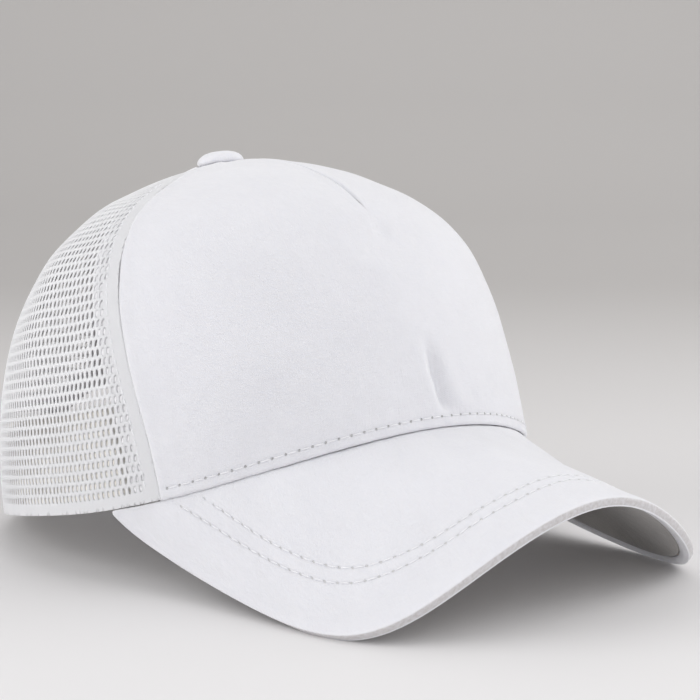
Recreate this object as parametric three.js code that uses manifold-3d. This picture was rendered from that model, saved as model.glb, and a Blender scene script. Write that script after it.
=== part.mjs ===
// A ponytail baseball cap: one cotton front panel and a curved peak, net sides and back, a bound slit
// for a ponytail, and below it a bound arch that two overlapping straps close.
// Millimetres, +Z up, the peak towards -Y and the wearer's right towards -X.
import * as THREE from "three";
import { mergeVertices } from "three/addons/utils/BufferGeometryUtils.js";
import Module from "manifold-3d";

const wasm = await Module();
wasm.setup();

const DEGREE = Math.PI / 180;
const QUARTER = Math.PI / 2;

// The outside of the crown, measured in the cap's own frame, where the back of its base edge is level.
const crown = {
  halfWidth: 87,
  frontLength: 84,
  backLength: 103.5,
  height: 109,
  apexY: 10,
  frontRise: 13.9,
  riseSharpness: 2.5,
};

// How the crown's upright profile bends, seen from three sides. It narrows as cos^narrowing and climbs
// as sin^climbing; the shoulder and belly are small shares added high up and low down.
const profiles = {
  front: { narrowing: 0.862, climbing: 0.932, shoulder: 0.025, belly: 0.008 },
  side: { narrowing: 0.988, climbing: 0.996, shoulder: 0.064, belly: 0.074 },
  back: { narrowing: 0.953, climbing: 1.099, shoulder: -0.114, belly: 0.032 },
};

// Seams from the base edge to the button, in degrees round from the middle of the front.
const frontSeam = { base: 60.7, bow: 5.1, lean: 7.9 };
const backSeam = { base: 127, bow: 0, lean: -4 };

// Cloth thicknesses and the gaps between layers.
const cotton = 1.6;
const net = 1.0;
const tape = 1.0;
const bandCloth = 1.2;
const strapCloth = 1.2;
const layerGap = 0.4;
const edgeGap = 0.2;

// The slit for the ponytail, the arch under it and the folded tape that binds them.
const binding = { width: 9 };
const arch = { halfWidth: 33, height: 42 };
const slit = { length: 75, halfWidth: 13.6, topShare: 0.1, fullness: 0.85, topCrown: 2, tipHalf: 0.2 };

const seamTape = { width: 12, topRadius: 17, footRise: 0.8 };
const centreTape = { width: 13 };
const sweatband = { height: 32 };
const strap = { height: 18, footRise: 0.3, lapPastCentre: 24, innerOffset: 3.5, overhang: 0.3 };
const button = { radius: 8, height: 4.5, shankRadius: 3, washerRadius: 6, washer: 0.8, clearance: 0.5 };
const apexHole = 3.6;

// How much of the cloth is pressed flat where the cap rests.
const pressed = 0.3;

// Folds down the middle of the front panel, as shares of its height up from the peak: the dart under the
// button, and a crease where the panel buckles at the peak. Both have the same half width.
const fold = { halfWidth: 2.2, depth: 0.8 };
const folds = [
  { from: 0.49, to: 1.0, ease: 0.08 },
  { from: 0.02, to: 0.17, ease: 0.06 },
];

// Soft hollows in the front panel: where they lie, round in degrees and up as a share of its height, and
// their half sizes and depth as shares of the crown's height.
const hollows = [
  { round: 0, up: 0.41, halfWidth: 0.17, halfHeight: 0.13, depth: 0.012 },
  { round: 5, up: 0.1, halfWidth: 0.09, halfHeight: 0.14, depth: 0.008 },
];

// The peak. The rows are the control points of its outer edge, from the corner to the middle of the
// front, as shares of the crown's half width, of the way forward, and of the drop at the sides.
const peak = { corner: 72.2, cornerDepth: 1.2, reach: 63.4, sideDrop: 38.3, cover: 1.6, lining: 1.0, tuck: 1.6 };
const peakEdge = [
  { across: 0.784, forward: 0.094, down: 0.75 },
  { across: 0.877, forward: 0.877, down: 0.859 },
  { across: 0.911, forward: 0.693, down: 1.802 },
  { across: 0.578, forward: 1.0, down: 0.347 },
  { across: 0.0, forward: 1.0, down: 0.347 },
];

// How finely curved cloth is divided.
const steps = { meridian: 96, panelRows: 18, frontColumns: 10, netColumns: 8, peakColumns: 18, peakRows: 4 };

const backOutlineMargin = tape + layerGap + 0.5;
const slitFoot = arch.height + binding.width + layerGap;
const slitHead = slitFoot + slit.length;
const tapeDepth = cotton + layerGap;
const netTapeDepth = net + layerGap;
const sweatbandDepth = tapeDepth + tape + layerGap;
const strapDepth = net + layerGap + tape + layerGap;

// Crown surface

function blendProfile(theta) {
  const front = Math.max(Math.cos(theta), 0) ** 2;
  const back = Math.max(-Math.cos(theta), 0) ** 2;
  const mix = {};
  for (const key of Object.keys(profiles.side)) {
    const side = profiles.side[key];
    mix[key] = side + (profiles.front[key] - side) * front + (profiles.back[key] - side) * back;
  }
  return mix;
}

// The outer surface: theta goes round from the front towards +X, phi goes up from the base edge.
function crownSurface(theta, phi) {
  const shape = blendProfile(theta);
  const ahead = Math.cos(theta);
  const length = ahead > 0 ? crown.frontLength : crown.backLength;
  const swell = shape.shoulder * Math.sin(2 * phi) ** 4;
  const belly = shape.belly * Math.sin(2 * phi) ** 2 * Math.cos(phi) ** 2;
  const radial = Math.max(Math.cos(phi), 0) ** shape.narrowing * (1 + swell + belly);
  const upward = Math.sin(phi) ** shape.climbing * (1 + swell);
  const base = crown.frontRise * Math.max(ahead, 0) ** crown.riseSharpness;
  return new THREE.Vector3(
    crown.halfWidth * Math.sin(theta) * radial,
    crown.apexY + (-length * ahead - crown.apexY) * radial,
    base + (crown.height - base) * upward,
  );
}

function crownNormal(theta, phi) {
  const nudge = 1e-3;
  const high = Math.min(phi, QUARTER - 0.02);
  const low = Math.max(high - nudge, 0);
  const around = crownSurface(theta + nudge, high).sub(crownSurface(theta - nudge, high));
  const up = crownSurface(theta, low + 2 * nudge).sub(crownSurface(theta, low));
  return around.cross(up).normalize();
}

const meridians = new Map();

// Distances along the cloth from the base edge to each phi step, for the meridian at theta.
function meridian(theta) {
  const key = theta.toFixed(6);
  if (!meridians.has(key)) {
    const lengths = [0];
    let last = crownSurface(theta, 0);
    for (let i = 1; i <= steps.meridian; i++) {
      const next = crownSurface(theta, (i / steps.meridian) * QUARTER);
      lengths.push(lengths[i - 1] + next.distanceTo(last));
      last = next;
    }
    meridians.set(key, lengths);
  }
  return meridians.get(key);
}

function climbTo(theta, height) {
  const lengths = meridian(theta);
  let i = 1;
  while (i < steps.meridian && lengths[i] < height) i++;
  const share = (height - lengths[i - 1]) / (lengths[i] - lengths[i - 1]);
  return (Math.min(i - 1 + share, steps.meridian) / steps.meridian) * QUARTER;
}

function clothLength(theta) {
  return meridian(theta)[steps.meridian];
}

// A point on the meridian at theta, height mm up the cloth and depth mm inside the outer surface.
function onCrown(theta, height, depth) {
  const phi = climbTo(theta, height);
  return crownSurface(theta, phi).addScaledVector(crownNormal(theta, phi), -depth);
}

// Millimetres along the level line through this point, for each radian round the crown.
function roundRadius(theta, height) {
  const nudge = 1e-3;
  const phi = climbTo(theta, height);
  return crownSurface(theta + nudge, phi).distanceTo(crownSurface(theta - nudge, phi)) / (2 * nudge);
}

// A point across mm towards +X from the middle of the back.
function onBack(across, height, depth) {
  return onCrown(Math.PI - across / roundRadius(Math.PI, height), height, depth);
}

function seamAngle(seam, share) {
  const bow = seam.bow * Math.sin(Math.PI * share) ** 2;
  return (seam.base + bow + seam.lean * share) * DEGREE;
}

// Mesh makers

function spread(from, to, count) {
  return Array.from({ length: count + 1 }, (unused, i) => from + ((to - from) * i) / count);
}

// A closed geometry from points and triangles, turned so that its faces point outwards.
function closedGeometry(points, triangles) {
  let volume = 0;
  for (const [a, b, c] of triangles) {
    volume += points[a].dot(new THREE.Vector3().crossVectors(points[b], points[c]));
  }
  const index = triangles.flatMap(([a, b, c]) => (volume > 0 ? [a, b, c] : [a, c, b]));
  const geometry = new THREE.BufferGeometry();
  geometry.setAttribute("position", new THREE.Float32BufferAttribute(points.flatMap((p) => p.toArray()), 3));
  geometry.setIndex(index);
  return geometry;
}

// A sheet with thickness: place(u, v, layer) gives a point for each u and v, with layer 0 outside and 1 inside.
function sheetGeometry(us, vs, place) {
  const points = [];
  const triangles = [];
  const at = (i, j, layer) => (i * vs.length + j) * 2 + layer;
  for (const u of us) {
    for (const v of vs) points.push(place(u, v, 0), place(u, v, 1));
  }
  const quad = (a, b, c, d) => triangles.push([a, b, c], [a, c, d]);
  const endU = us.length - 1;
  const endV = vs.length - 1;
  for (let i = 0; i < endU; i++) {
    for (let j = 0; j < endV; j++) {
      quad(at(i, j, 0), at(i + 1, j, 0), at(i + 1, j + 1, 0), at(i, j + 1, 0));
      quad(at(i, j, 1), at(i, j + 1, 1), at(i + 1, j + 1, 1), at(i + 1, j, 1));
    }
    quad(at(i, 0, 0), at(i, 0, 1), at(i + 1, 0, 1), at(i + 1, 0, 0));
    quad(at(i, endV, 0), at(i + 1, endV, 0), at(i + 1, endV, 1), at(i, endV, 1));
  }
  for (let j = 0; j < endV; j++) {
    quad(at(0, j, 0), at(0, j + 1, 0), at(0, j + 1, 1), at(0, j, 1));
    quad(at(endU, j, 0), at(endU, j, 1), at(endU, j + 1, 1), at(endU, j + 1, 0));
  }
  return closedGeometry(points, triangles);
}

// A section of [distance into the cloth, depth] pairs carried along an edge of the back.
function edgeSweep(edge, section) {
  const points = edge.flatMap((e) =>
    section.map(([into, depth]) => onBack(e.across + e.outX * into, e.height + e.outY * into, depth)),
  );
  const size = section.length;
  const triangles = [];
  for (let i = 0; i + 1 < edge.length; i++) {
    for (let k = 0; k < size; k++) {
      const a = i * size + k;
      const b = i * size + ((k + 1) % size);
      triangles.push([a, b, b + size], [a, b + size, a + size]);
    }
  }
  const outline = section.map(([into, depth]) => new THREE.Vector2(into, depth));
  const last = (edge.length - 1) * size;
  for (const [a, b, c] of THREE.ShapeUtils.triangulateShape(outline, [])) {
    triangles.push([a, c, b], [last + a, last + b, last + c]);
  }
  return closedGeometry(points, triangles);
}

function toSolid(geometry) {
  const bare = new THREE.BufferGeometry();
  bare.setAttribute("position", geometry.getAttribute("position"));
  bare.setIndex(geometry.getIndex());
  const merged = mergeVertices(bare, 1e-4);
  return new wasm.Manifold(
    new wasm.Mesh({
      numProp: 3,
      vertProperties: new Float32Array(merged.getAttribute("position").array),
      triVerts: new Uint32Array(merged.getIndex().array),
    }),
  );
}

function fromSolid(solid) {
  const mesh = solid.getMesh();
  const geometry = new THREE.BufferGeometry();
  geometry.setAttribute("position", new THREE.Float32BufferAttribute(mesh.vertProperties, 3));
  geometry.setIndex(Array.from(mesh.triVerts));
  return geometry;
}

// Colours

function cloth(colour) {
  return new THREE.MeshStandardMaterial({ color: colour, roughness: 0.9, metalness: 0 });
}

const whiteCotton = cloth(0xebebf0);
const whiteNet = cloth(0xf2f2f4);
const whiteTape = cloth(0xf3f1f4);
const creamCotton = cloth(0xefece3);

const cap = new THREE.Group();

function addPiece(name, geometry, material) {
  const mesh = new THREE.Mesh(geometry, material);
  mesh.name = name;
  cap.add(mesh);
  return mesh;
}

// Crown panels. A panel's column angle is worked out row by row, so each edge keeps half a seam's gap.

function panelSheet(columns, rows, thickness, fromAngle, toAngle, sink) {
  return sheetGeometry(columns, rows, (u, v, layer) => {
    const guess = THREE.MathUtils.lerp(fromAngle(v), toAngle(v), u);
    const rim = edgeGap / Math.max(roundRadius(guess, v * clothLength(guess)), apexHole);
    const theta = THREE.MathUtils.lerp(fromAngle(v) + rim, toAngle(v) - rim, u);
    const height = v * (clothLength(theta) - apexHole);
    return onCrown(theta, height, thickness * layer + sink(u, v, theta));
  });
}

// How far the middle of the front panel is folded in at a share v of its height.
function foldDepth(v) {
  const { smoothstep } = THREE.MathUtils;
  const deep = folds.map(({ from, to, ease }) => {
    const end = to < 1 ? 1 - smoothstep(v, to - ease, to) : 1;
    return smoothstep(v, from, from + ease) * end;
  });
  return fold.depth * Math.max(...deep);
}

function hollowDepth(theta, v) {
  let depth = 0;
  for (const row of hollows) {
    const across = ((theta - row.round * DEGREE) * crown.halfWidth) / (row.halfWidth * crown.height);
    const along = ((v - row.up) * clothLength(0)) / (row.halfHeight * crown.height);
    const reach = Math.min(Math.hypot(across, along), 1);
    depth += row.depth * crown.height * (1 - reach * reach) ** 2;
  }
  return depth;
}

function frontPanel() {
  const crease = fold.halfWidth / (crown.halfWidth * seamAngle(frontSeam, 0));
  const side = [crease, ...spread(0, 1, steps.frontColumns).slice(1)];
  const columns = [...side.map((u) => -u).reverse(), 0, ...side].map((u) => (u + 1) / 2);
  const sink = (u, v, theta) => hollowDepth(theta, v) + (u === 0.5 ? foldDepth(v) : 0);
  const edge = (v) => seamAngle(frontSeam, v);
  return panelSheet(columns, spread(0, 1, steps.panelRows), cotton, (v) => -edge(v), edge, sink);
}

function sideNet(side) {
  const near = (v) => side * seamAngle(frontSeam, v);
  const far = (v) => side * seamAngle(backSeam, v);
  const edges = side > 0 ? [near, far] : [far, near];
  return panelSheet(spread(0, 1, steps.netColumns), spread(0, 1, steps.panelRows), net, ...edges, () => 0);
}

// Half the width of the slit at a height, from its pointed foot to its squared head.
function slitHalfWidth(height) {
  const down = (slitHead - height) / slit.length;
  const turn = Math.PI * (slit.topShare + (1 - slit.topShare) * down);
  return slit.tipHalf + slit.halfWidth * Math.max(Math.sin(turn), 0) ** slit.fullness;
}

// Where the cut edge of a back net lies, across from the middle of the back.
function backNetEdge(height) {
  const archTop = arch.height + backOutlineMargin;
  if (height < archTop) {
    return Math.max((arch.halfWidth + backOutlineMargin) * Math.sqrt(1 - (height / archTop) ** 2), edgeGap);
  }
  const inSlit = height >= slitFoot - edgeGap && height <= slitHead + slit.topCrown + backOutlineMargin;
  const held = Math.min(Math.max(height, slitFoot), slitHead);
  return inSlit ? slitHalfWidth(held) + backOutlineMargin : edgeGap;
}

function backNet(side) {
  const archTop = arch.height + backOutlineMargin;
  const slitEnd = slitHead + slit.topCrown + backOutlineMargin;
  const total = clothLength(Math.PI);
  const heights = [
    ...spread(0, QUARTER, 9).map((turn) => archTop * Math.sin(turn)),
    slitFoot - edgeGap - 0.01,
    slitFoot,
    ...spread(slitFoot, slitEnd, 15).slice(1),
    slitEnd + 0.01,
    ...spread(slitEnd, total - apexHole, 3).slice(1),
  ];
  const place = (u, height, layer) => {
    const share = height / (total - apexHole);
    const seam = Math.PI - seamAngle(backSeam, share);
    const radius = roundRadius(Math.PI, height);
    const from = backNetEdge(height) / radius;
    const to = seam - edgeGap / Math.max(radius, apexHole);
    const off = THREE.MathUtils.lerp(from, to, u);
    const theta = Math.PI - off;
    const own = clothLength(theta) - apexHole;
    const high = THREE.MathUtils.lerp(height, share * own, THREE.MathUtils.smoothstep(share, 0.5, 1));
    const point = onCrown(theta, high, net * layer);
    point.x *= side;
    return point;
  };
  return sheetGeometry(spread(0, 1, steps.netColumns), heights, place);
}

addPiece("front_panel", frontPanel(), whiteCotton);
addPiece("side_net_left", sideNet(1), whiteNet);
addPiece("side_net_right", sideNet(-1), whiteNet);
addPiece("back_net_left", backNet(1), whiteNet);
addPiece("back_net_right", backNet(-1), whiteNet);

// Tapes sewn inside along the panel seams.

function seamTapeSheet(seam, side, depth) {
  const topShare = 1 - (seamTape.topRadius - apexHole) / clothLength(seamAngle(seam, 1));
  const place = (across, v, layer) => {
    const middle = seamAngle(seam, v);
    const theta = middle + across / roundRadius(middle, v * clothLength(middle));
    const height = seamTape.footRise + v * (clothLength(theta) - apexHole - seamTape.footRise);
    const point = onCrown(theta, height, depth(height) + tape * layer);
    point.x *= side;
    return point;
  };
  const columns = spread(-seamTape.width / 2, seamTape.width / 2, 2);
  return sheetGeometry(columns, spread(0, topShare, steps.panelRows), place);
}

// Above the sweatband the tape of the back seam goes deeper, to pass inside the slit's binding.
function backTapeDepth(height) {
  const rise = THREE.MathUtils.smoothstep(height, sweatband.height + 2, sweatband.height + 16);
  return netTapeDepth + rise * (tape + layerGap);
}

for (const [name, side] of [["left", 1], ["right", -1]]) {
  addPiece(`front_seam_tape_${name}`, seamTapeSheet(frontSeam, side, () => tapeDepth), whiteTape);
  addPiece(`back_seam_tape_${name}`, seamTapeSheet(backSeam, side, backTapeDepth), whiteTape);
}

// The bindings: a tape folded over the cut edge, with a leg outside the net and a leg inside it.

function outwardEdge(path) {
  return path.map((p, i) => {
    const before = path[Math.max(i - 1, 0)];
    const after = path[Math.min(i + 1, path.length - 1)];
    const run = new THREE.Vector2(after.across - before.across, after.height - before.height).normalize();
    return { ...p, outX: -run.y, outY: run.x };
  });
}

const foldSection = [
  [0, -layerGap - tape],
  [binding.width / 2, -layerGap - tape],
  [binding.width, -layerGap - tape],
  [binding.width, -layerGap],
  [binding.width / 2, -layerGap],
  [tape, -layerGap],
  [tape, net + layerGap],
  [binding.width / 2, net + layerGap],
  [binding.width, net + layerGap],
  [binding.width, net + layerGap + tape],
  [binding.width / 2, net + layerGap + tape],
  [0, net + layerGap + tape],
];

const archPath = spread(-QUARTER, QUARTER, 28).map((turn) => ({
  across: arch.halfWidth * Math.sin(turn),
  height: arch.height * Math.cos(turn),
}));
const archEdge = outwardEdge(archPath);
archEdge[0].outX = -1;
archEdge[0].outY = 0;
archEdge[archEdge.length - 1].outX = 1;
archEdge[archEdge.length - 1].outY = 0;

function slitPath() {
  const rising = spread(slitFoot, slitHead, 20).map((height) => ({ across: -slitHalfWidth(height), height }));
  const headHalf = slitHalfWidth(slitHead);
  const head = spread(-QUARTER, QUARTER, 8).slice(1, -1).map((turn) => ({
    across: headHalf * Math.sin(turn),
    height: slitHead + slit.topCrown * Math.cos(turn),
  }));
  const falling = rising.map((p) => ({ across: -p.across, height: p.height })).reverse();
  return [...rising, ...head, ...falling];
}

// The arch's binding with a gap all round it, which trims the ends of the slit's binding.
const archEnvelope = [
  [-layerGap, -binding.width],
  [binding.width + layerGap, -binding.width],
  [binding.width + layerGap, binding.width],
  [-layerGap, binding.width],
];

function slitBinding() {
  const whole = toSolid(edgeSweep(outwardEdge(slitPath()), foldSection));
  const cutter = toSolid(edgeSweep(archEdge, archEnvelope));
  return fromSolid(whole.subtract(cutter));
}

addPiece("arch_binding", edgeSweep(archEdge, foldSection), whiteTape);
addPiece("slit_binding", slitBinding(), whiteTape);

// The tape over the short seam between the button and the slit, where it meets the slit's binding.

function centreTapeSheet() {
  const foot = slitHead + slit.topCrown + binding.width + layerGap;
  const top = clothLength(Math.PI) - button.radius - button.clearance;
  const place = (across, height, layer) => onBack(across, height, -layerGap - tape * (1 - layer));
  return sheetGeometry(spread(-centreTape.width / 2, centreTape.width / 2, 4), spread(foot, top, 3), place);
}

addPiece("centre_back_tape", centreTapeSheet(), whiteTape);

// The sweatband runs inside the base edge from one leg of the arch round the front to the other.

function sweatbandSheet() {
  const radius = roundRadius(Math.PI, 0);
  const end = Math.PI - (arch.halfWidth + binding.width + 1) / radius;
  const place = (theta, height, layer) => onCrown(theta, height, sweatbandDepth + bandCloth * layer);
  return sheetGeometry(spread(-end, end, 56), spread(0, sweatband.height, 3), place);
}

addPiece("sweatband", sweatbandSheet(), creamCotton);

// Two straps meet across the arch. Each is sewn to one leg, and they lap with the inner one a little higher.

function strapSheet(side, depth, lift) {
  const root = arch.halfWidth + binding.width - strap.overhang;
  const foot = strap.footRise + lift;
  const place = (across, height, layer) => onBack(side * across, height, depth + strapCloth * layer);
  return sheetGeometry(spread(-strap.lapPastCentre, root, 14), spread(foot, foot + strap.height, 2), place);
}

addPiece("strap_outer", strapSheet(1, strapDepth, 0), whiteCotton);
addPiece("strap_inner", strapSheet(-1, strapDepth + strapCloth + layerGap, strap.innerOffset), whiteCotton);

// The peak: a stiffened cover above a lining. The cover's top meets the crown at the base edge, and is
// tucked under it at the front.

const peakThickness = peak.cover + layerGap + peak.lining;

function mirrored(point, turn) {
  point.x *= Math.sign(turn) || 1;
  return point;
}

function peakInner(turn) {
  const tuck = peak.tuck * Math.cos(turn * QUARTER);
  const point = onCrown(peak.corner * DEGREE * Math.abs(turn), 0, tuck);
  point.z -= layerGap;
  return mirrored(point, turn);
}

// The outer edge, a Bezier curve worked out by de Casteljau's steps from the corner to the middle.
function peakOuter(turn) {
  const base = onCrown(peak.corner * DEGREE, 0, 0);
  const front = -(crown.frontLength + peak.reach);
  const corner = new THREE.Vector3(base.x, base.y, base.z - layerGap - peak.cornerDepth);
  const rows = peakEdge.map(
    ({ across, forward, down }) =>
      new THREE.Vector3(
        crown.halfWidth * across,
        THREE.MathUtils.lerp(base.y, front, forward),
        base.z - peak.sideDrop * down,
      ),
  );
  let points = [corner, ...rows];
  while (points.length > 1) {
    points = points.slice(1).map((p, i) => points[i].clone().lerp(p, 1 - Math.abs(turn)));
  }
  return mirrored(points[0], turn);
}

// The direction out of the peak's top.
function peakNormal(turn, out) {
  const nudge = 1e-3;
  const at = THREE.MathUtils.clamp(turn, nudge - 1, 1 - nudge);
  const ruled = (t) => peakInner(t).lerp(peakOuter(t), out);
  const along = ruled(at + nudge).sub(ruled(at - nudge));
  const forward = peakOuter(at).sub(peakInner(at));
  return forward.cross(along).normalize();
}

// A point lift mm above the peak's underside. The edge curve is the lowest line that shows from the
// side, so the underside lies on it where the peak is level, and the top where it hangs steeply.
function peakPoint(turn, out, lift) {
  const innerUp = peakNormal(turn, 0);
  const outerUp = peakNormal(turn, 1);
  const inner = peakInner(turn).addScaledVector(innerUp, -peakThickness);
  const outer = peakOuter(turn).addScaledVector(outerUp, -peakThickness * (1 - Math.max(outerUp.z, 0)));
  return inner.lerp(outer, out).addScaledVector(peakNormal(turn, out), lift);
}

function peakSheet(under, thickness) {
  const turns = spread(-1, 1, 2 * steps.peakColumns);
  return sheetGeometry(turns, spread(0, 1, steps.peakRows), (turn, out, layer) =>
    peakPoint(turn, out, under + thickness * (1 - layer)),
  );
}

addPiece("peak_cover", peakSheet(peak.lining + layerGap, peak.cover), whiteCotton);
addPiece("peak_lining", peakSheet(0, peak.lining), whiteCotton);

// The covered button, with its shank through the crown and the washer that clinches it inside.

function buttonGeometry() {
  const { radius, height, shankRadius, washerRadius, washer, clearance } = button;
  const under = -(cotton + fold.depth + clearance);
  const profile = [
    [0, under - washer],
    [washerRadius, under - washer],
    [washerRadius, under],
    [shankRadius, under],
    [shankRadius, clearance],
    [radius * 0.97, clearance],
    [radius, clearance + height * 0.22],
    [radius * 0.93, clearance + height * 0.55],
    [radius * 0.76, clearance + height * 0.8],
    [radius * 0.44, clearance + height * 0.96],
    [0, clearance + height],
  ];
  return new THREE.LatheGeometry(profile.map(([r, z]) => new THREE.Vector2(r, z)), 20);
}

const topButton = addPiece("button", buttonGeometry(), whiteCotton);
topButton.position.copy(crownSurface(0, QUARTER));
topButton.rotation.x = QUARTER;

// The cap at rest: it leans back until the sides of its peak and its back stand on the same floor.

function worldPoints(object) {
  object.updateWorldMatrix(true, true);
  const points = [];
  object.traverse((piece) => {
    if (!piece.isMesh) return;
    const position = piece.geometry.getAttribute("position");
    for (let i = 0; i < position.count; i++) {
      points.push(new THREE.Vector3().fromBufferAttribute(position, i).applyMatrix4(piece.matrixWorld));
    }
  });
  return points;
}

function lowest(points) {
  return points.reduce((low, p) => Math.min(low, p.z), Infinity);
}

// Halves the range of tilts until the front and the back stand equally low.
function restTilt() {
  const tilts = [0, QUARTER / 2];
  for (let i = 0; i < 30; i++) {
    const tilt = (tilts[0] + tilts[1]) / 2;
    cap.rotation.x = -tilt;
    const points = worldPoints(cap);
    const front = lowest(points.filter((p) => p.y < 0));
    const back = lowest(points.filter((p) => p.y > 0));
    tilts[front < back ? 0 : 1] = tilt;
  }
  return tilts[0];
}

function pressFlat(level) {
  const slab = new THREE.BoxGeometry(4 * crown.backLength, 4 * crown.backLength, crown.height);
  slab.translate(0, 0, level - crown.height / 2);
  slab.applyMatrix4(cap.matrixWorld.clone().invert());
  const cutter = toSolid(slab);
  for (const piece of cap.children) {
    if (lowest(worldPoints(piece)) < level) {
      piece.geometry = fromSolid(toSolid(piece.geometry).subtract(cutter));
    }
  }
}

cap.rotation.x = -restTilt();
const floor = lowest(worldPoints(cap)) + pressed;
pressFlat(floor);
const bounds = new THREE.Box3().setFromPoints(worldPoints(cap));
cap.position.set(0, -(bounds.min.y + bounds.max.y) / 2, -floor);

const part = new THREE.Group();
part.add(cap);
export default part;
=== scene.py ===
"""A white ponytail cap at rest on a pale floor: cotton front and peak, net sides and back."""
import bpy
import numpy as np
from mathutils import Matrix


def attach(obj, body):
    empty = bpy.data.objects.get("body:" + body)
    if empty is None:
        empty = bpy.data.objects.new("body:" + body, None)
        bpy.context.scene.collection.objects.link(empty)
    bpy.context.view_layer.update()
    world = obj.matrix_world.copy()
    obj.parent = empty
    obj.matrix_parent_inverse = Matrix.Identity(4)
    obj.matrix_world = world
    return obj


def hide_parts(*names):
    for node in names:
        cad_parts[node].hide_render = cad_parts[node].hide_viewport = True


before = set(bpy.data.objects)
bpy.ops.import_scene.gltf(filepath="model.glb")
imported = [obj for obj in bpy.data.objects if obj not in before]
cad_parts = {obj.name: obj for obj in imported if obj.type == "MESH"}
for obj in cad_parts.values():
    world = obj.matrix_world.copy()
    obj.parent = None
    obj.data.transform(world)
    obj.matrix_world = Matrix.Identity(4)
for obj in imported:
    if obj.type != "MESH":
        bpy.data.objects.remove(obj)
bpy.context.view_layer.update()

# The camera, which stands in front of the cap and to the wearer's right, a little above the peak.
# The crown has a frame of its own, in millimetres, with its back edge level. At rest the whole cap
# leans back in that frame, and the button shows by how much, because it sits square on the crown.
MILLIMETRE = 0.001
crown_top = np.array([0.0, 10.0, 109.0])
button_stands = 5.0
camera_place = np.array([-402.15, -520.29, 33.36])
camera_aim = np.array([23.36, -19.09, 41.01])
camera_up = np.array([0.08134, -0.08423, 0.99312])
camera_lens = 99.6


def node_corners(name):
    """The different corners of a CAD node's mesh, in millimetres."""
    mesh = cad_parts[name].data
    corners = np.empty(3 * len(mesh.vertices), np.float32)
    mesh.vertices.foreach_get("co", corners)
    return np.unique(np.round(corners.reshape(-1, 3).astype(float) / MILLIMETRE, 3), axis=0)


# The button is a turned shape, so its corners' middle lies on its axis, which is one of the three
# directions of their spread: the one nearest to upright.
button_corners = node_corners("button")
button_middle = button_corners.mean(0)
spread_directions = np.linalg.svd(button_corners - button_middle)[2]
button_axis = spread_directions[np.argmax(np.abs(spread_directions[:, 2]))]
button_axis = button_axis * np.sign(button_axis[2])
lean = np.arctan2(button_axis[1], button_axis[2])
leaning = np.array([
    [1, 0, 0],
    [0, np.cos(lean), np.sin(lean)],
    [0, -np.sin(lean), np.cos(lean)],
])
button_peak = ((button_corners - button_middle) @ button_axis).max()
crown_shift = button_middle + button_axis * (button_peak - button_stands) - leaning @ crown_top


def at_rest(points):
    """Points of the crown's frame, turned by the lean about X, shifted, and in metres."""
    return (points @ leaning.T + crown_shift) * MILLIMETRE


def unit(vectors):
    """Vectors divided by their own lengths."""
    return vectors / np.linalg.norm(vectors, axis=-1, keepdims=True)


def looking(place, backwards, up):
    """The matrix of a camera or lamp that looks against backwards, with up upwards."""
    rightwards = unit(np.cross(up, backwards))
    matrix = np.eye(4)
    matrix[:3, :3] = np.stack([rightwards, np.cross(backwards, rightwards), backwards], axis=1)
    matrix[:3, 3] = place
    return Matrix(matrix.tolist())


def add_object(name, data):
    """Puts a mesh, lamp or camera in the scene."""
    added = bpy.data.objects.new(name, data)
    bpy.context.scene.collection.objects.link(added)
    return added


backwards = unit(leaning @ (camera_place - camera_aim))
camera = add_object("camera", bpy.data.cameras.new("camera"))
bpy.context.scene.camera = camera
camera.data.lens = camera_lens
camera.data.sensor_width = 36
camera.data.clip_start = 0.05
camera.data.clip_end = 30
camera.matrix_world = looking(at_rest(camera_place), backwards, leaning @ camera_up)


# The front panel: one wide piece of plain white cotton, folded under along its edges. A short dart
# runs down from the button, and one row of stitches holds the panel's lower edge to the peak. The
# crown's surface is worked out here, because every other piece of the crown lies on it.
DEGREE = np.pi / 180
crown_half_width = 87.0
crown_front = 84.0
crown_back = 103.5
front_rise = 13.9
rise_sharpness = 2.5
# How the upright profile narrows and climbs, and its shoulder and belly, at the front, side and back.
profile_front = np.array([0.862, 0.932, 0.025, 0.008])
profile_side = np.array([0.988, 0.996, 0.064, 0.074])
profile_back = np.array([0.953, 1.099, -0.114, 0.032])
front_seam = {"base": 60.7, "bow": 5.1, "lean": 7.9}
back_seam = {"base": 127.0, "bow": 0.0, "lean": -4.0}
apex_hole = 3.6
cotton_thickness = 1.6
# Slopes are worked out from two points that lie this far apart, in radians or as a share.
nudge = 1e-3


def crown_point(around, rising):
    """A point of the crown's outside. around turns from the front, 0, towards +X, and rising goes
    from the base edge, 0, to the button, a quarter turn. The plan is an ellipse, longer at the
    back. It narrows as cos(rising) and climbs as sin(rising), each to its profile's power, times
    1 and a shoulder of sin(2 rising) to the 4th; the belly is sin(2 rising)^2 cos(rising)^2."""
    ahead = np.cos(around)
    front = np.maximum(ahead, 0)[..., None] ** 2
    back = np.maximum(-ahead, 0)[..., None] ** 2
    mix = profile_side + (profile_front - profile_side) * front + (profile_back - profile_side) * back
    narrowing, climbing, shoulder, belly = np.moveaxis(mix, -1, 0)
    length = np.where(ahead > 0, crown_front, crown_back)
    swell = shoulder * np.sin(2 * rising) ** 4
    round_out = belly * np.sin(2 * rising) ** 2 * np.cos(rising) ** 2
    radial = np.maximum(np.cos(rising), 0) ** narrowing * (1 + swell + round_out)
    upward = np.maximum(np.sin(rising), 0) ** climbing * (1 + swell)
    base = front_rise * np.maximum(ahead, 0) ** rise_sharpness
    return np.stack([
        crown_half_width * np.sin(around) * radial,
        crown_top[1] + (-length * ahead - crown_top[1]) * radial,
        base + (crown_top[2] - base) * upward,
    ], axis=-1)


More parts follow.
